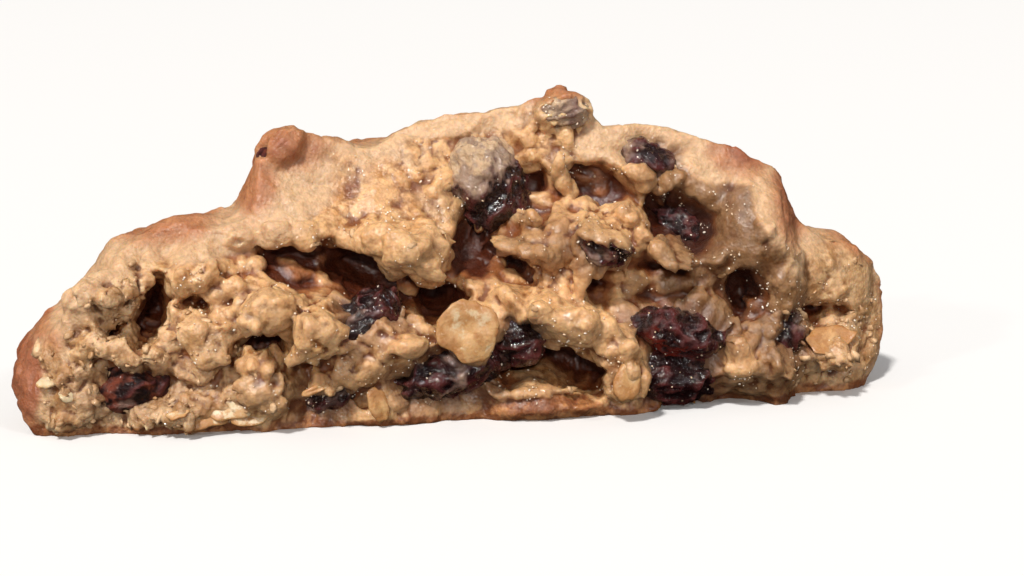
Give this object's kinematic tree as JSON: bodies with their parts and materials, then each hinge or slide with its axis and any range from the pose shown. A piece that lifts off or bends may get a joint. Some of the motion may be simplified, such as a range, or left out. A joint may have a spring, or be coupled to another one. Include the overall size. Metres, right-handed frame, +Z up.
{
  "type": "oatmeal raisin cookie half",
  "caption": "Thick oatmeal raisin cookie, torn in half, resting on its flat base with the gooey torn face to the front.",
  "frame": {"origin": "middle of the flat baked base, at the bottom centre of the bounding box", "axes": "+X along the tear, to the right when the torn face is looked at; -Y out of the torn face, +Y towards the round crust; +Z up from the base"},
  "size_m": [0.1074, 0.057, 0.0371],
  "materials": {
    "dough": "satin",
    "raisin": "gloss"
  },
  "bodies": {
    "root": {"dough": "dough", "raisin_big": "raisin", "raisin_upper_right": "raisin", "raisin_black": "raisin", "raisin_middle": "raisin", "raisin_under_flake": "raisin", "raisin_low_middle": "raisin", "raisin_cave": "raisin", "raisin_left": "raisin", "raisin_torn": "raisin", "raisin_low_right": "raisin", "raisin_far_right": "raisin", "raisin_low_left": "raisin", "raisin_knob": "raisin", "raisin_peak": "raisin", "raisin_crust_back": "raisin", "raisin_crust_side": "raisin"}
  },
  "joints": []
}
